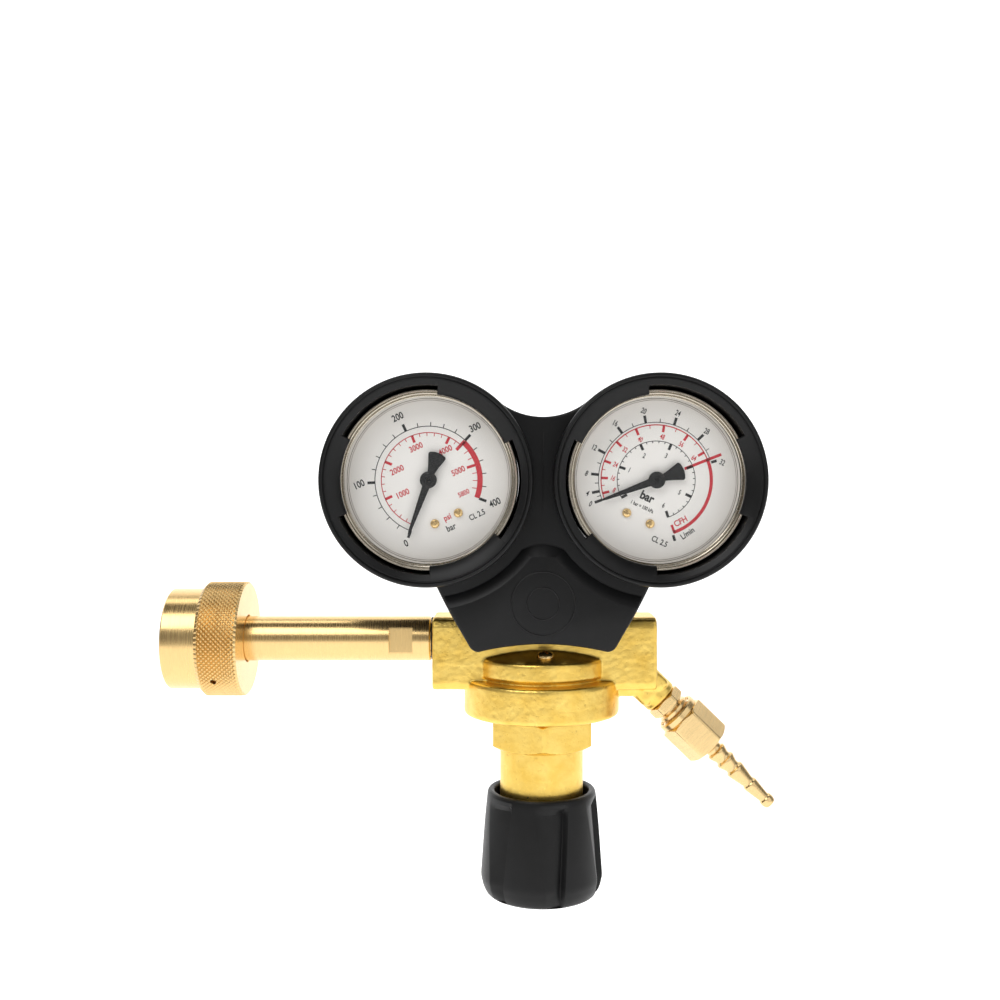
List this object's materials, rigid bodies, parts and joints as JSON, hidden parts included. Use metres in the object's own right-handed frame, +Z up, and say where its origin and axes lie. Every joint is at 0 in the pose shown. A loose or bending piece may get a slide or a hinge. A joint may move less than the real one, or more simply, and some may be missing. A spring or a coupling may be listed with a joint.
{
  "type": "gas pressure regulator",
  "caption": "Brass cylinder gas regulator with long inlet stem and hand nut, twin dial gauges in a black guard, pressure knob below and an angled hose tail.",
  "frame": {"origin": "centre of the inlet nose's end face", "axes": "+X along the inlet stem into the body, +Z up towards the gauges, gauge dials face -Y"},
  "size_m": [0.2183, 0.058, 0.1859],
  "materials": {
    "forged_brass": "grainy as-forged surface",
    "machined_brass": "turned, fine tool lines",
    "steel": "zinc plated",
    "black_plastic": "satin moulded",
    "black_rubber": "smooth",
    "sintered_bronze": "dull",
    "case_black": "satin black",
    "dial_white": "printed warm white",
    "pointer_black": "satin",
    "clear_window": "clear polycarbonate"
  },
  "bodies": {
    "regulator": {"body": "forged_brass", "boss_screw": "machined_brass", "bonnet": "forged_brass", "diaphragm": "black_rubber", "slip_ring": "machined_brass", "valve_nozzle": "machined_brass", "poppet_spring": "steel", "main_spring": "steel", "relief_body": "machined_brass", "relief_spring": "steel", "relief_cap": "machined_brass", "inlet_stem": "machined_brass", "inlet_filter": "sintered_bronze", "nose_o_ring": "black_rubber", "stem_gasket": "black_rubber", "outlet_nipple": "machined_brass", "flow_orifice": "machined_brass", "gauge_guard": "black_plastic", "contents_gauge_case": "case_black", "contents_gauge_socket": "machined_brass", "contents_socket_gasket": "steel", "contents_bourdon_tube": "sintered_bronze", "contents_movement_frame": "machined_brass", "contents_dial": "dial_white", "contents_dial_screw_left": "machined_brass", "contents_dial_screw_right": "machined_brass", "contents_window": "clear_window", "contents_blowout_plug": "black_rubber", "flow_gauge_case": "case_black", "flow_gauge_socket": "machined_brass", "flow_socket_gasket": "steel", "flow_bourdon_tube": "sintered_bronze", "flow_movement_frame": "machined_brass", "flow_dial": "dial_white", "flow_dial_screw_left": "machined_brass", "flow_dial_screw_right": "machined_brass", "flow_window": "clear_window", "flow_blowout_plug": "black_rubber"},
    "nut_carrier": {"thrust_washer": "steel"},
    "nut": {"handwheel_nut": "machined_brass"},
    "spring_seat": {"spring_button": "machined_brass"},
    "knob_assembly": {"knob": "black_plastic", "adjusting_screw": "steel", "knob_fixing_screw": "steel", "knob_end_cap": "black_plastic"},
    "valve_train": {"push_pin": "steel", "poppet": "machined_brass", "diaphragm_plate": "machined_brass"},
    "relief_train": {"relief_poppet": "machined_brass"},
    "contents_needle": {"contents_pointer": "pointer_black", "contents_pinion_arbor": "machined_brass"},
    "contents_sector": {"contents_sector_gear": "machined_brass"},
    "flow_needle": {"flow_pointer": "pointer_black", "flow_pinion_arbor": "machined_brass"},
    "flow_sector": {"flow_sector_gear": "machined_brass"},
    "union": {"union_nut": "machined_brass"},
    "tail": {"hose_tail": "machined_brass"}
  },
  "joints": [
    {"name": "nut_slide", "type": "slide", "parent": "regulator", "child": "nut_carrier", "axis": [1, 0, 0], "range_m": [0, 0.06]},
    {"name": "nut_spin", "type": "hinge", "parent": "nut_carrier", "child": "nut", "pos_m": [0.0205, 0, 0], "axis": [1, 0, 0], "continuous": true},
    {"name": "screw_advance", "type": "slide", "parent": "regulator", "child": "spring_seat", "axis": [0, 0, 1], "range_m": [0, 0.0065], "deforming": ["main_spring"]},
    {"name": "knob_turn", "type": "hinge", "parent": "spring_seat", "child": "knob_assembly", "pos_m": [0.127, 0, -0.08], "axis": [0, 0, 1], "range_deg": [0, 1440]},
    {"name": "valve_lift", "type": "slide", "parent": "regulator", "child": "valve_train", "axis": [0, 0, 1], "range_m": [0, 0.001], "stiffness_N_per_m": 2000, "springref_m": -0.001, "deforming": ["diaphragm", "poppet_spring"]},
    {"name": "relief_lift", "type": "slide", "parent": "regulator", "child": "relief_train", "axis": [0, 1, 0], "range_m": [0, 0.0015], "stiffness_N_per_m": 2500, "springref_m": -0.001, "deforming": ["relief_spring"]},
    {"name": "contents_needle_turn", "type": "hinge", "parent": "regulator", "child": "contents_needle", "pos_m": [0.0872, -0.017, 0.0575], "axis": [0, 1, 0], "range_deg": [0, 270], "stiffness_Nm_per_rad": 0.0001, "springref_deg": -17.19},
    {"name": "contents_sector_turn", "type": "hinge", "parent": "regulator", "child": "contents_sector", "pos_m": [0.09185, -0.008, 0.04753], "axis": [0, 1, 0], "range_deg": [-30, 0]},
    {"name": "flow_needle_turn", "type": "hinge", "parent": "regulator", "child": "flow_needle", "pos_m": [0.1668, -0.017, 0.0575], "axis": [0, 1, 0], "range_deg": [0, 270], "stiffness_Nm_per_rad": 0.0001, "springref_deg": -17.19},
    {"name": "flow_sector_turn", "type": "hinge", "parent": "regulator", "child": "flow_sector", "pos_m": [0.16215, -0.008, 0.04753], "axis": [0, 1, 0], "range_deg": [-30, 0]},
    {"name": "union_nut_spin", "type": "hinge", "parent": "regulator", "child": "union", "pos_m": [0.1704, 0, -0.0216], "axis": [0.7185, 0, -0.6955], "continuous": true},
    {"name": "hose_tail_swivel", "type": "hinge", "parent": "regulator", "child": "tail", "pos_m": [0.1704, 0, -0.0216], "axis": [0.7185, 0, -0.6955], "continuous": true}
  ],
  "couplings": [
    {"joint": "screw_advance", "follows": "knob_turn", "m_per_rad": 0.00025465},
    {"joint": "contents_sector_turn", "follows": "contents_needle_turn", "ratio": -0.11111},
    {"joint": "flow_sector_turn", "follows": "flow_needle_turn", "ratio": -0.11111}
  ]
}
